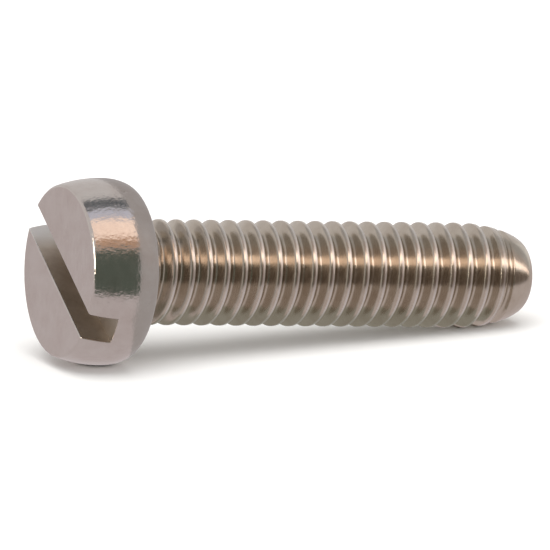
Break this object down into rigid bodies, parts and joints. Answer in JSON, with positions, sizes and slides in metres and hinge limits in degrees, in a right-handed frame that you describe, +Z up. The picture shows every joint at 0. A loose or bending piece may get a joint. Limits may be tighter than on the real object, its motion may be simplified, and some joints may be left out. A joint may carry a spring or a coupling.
{
  "type": "slotted cheese head screw",
  "caption": "Machine screw with a slotted cheese head and a fully threaded shank with a rounded end, lying on its side.",
  "frame": {"origin": "on the surface the screw lies on, under the middle of its length", "axes": "+X towards the tip, which dips 5.8 degrees as the screw rests on the head's rim and the thread's end; +Z up"},
  "size_m": [0.019, 0.0068, 0.0068],
  "materials": {
    "stainless_steel": "satin"
  },
  "bodies": {
    "root": {"cheese_head_screw": "stainless_steel"}
  },
  "joints": []
}
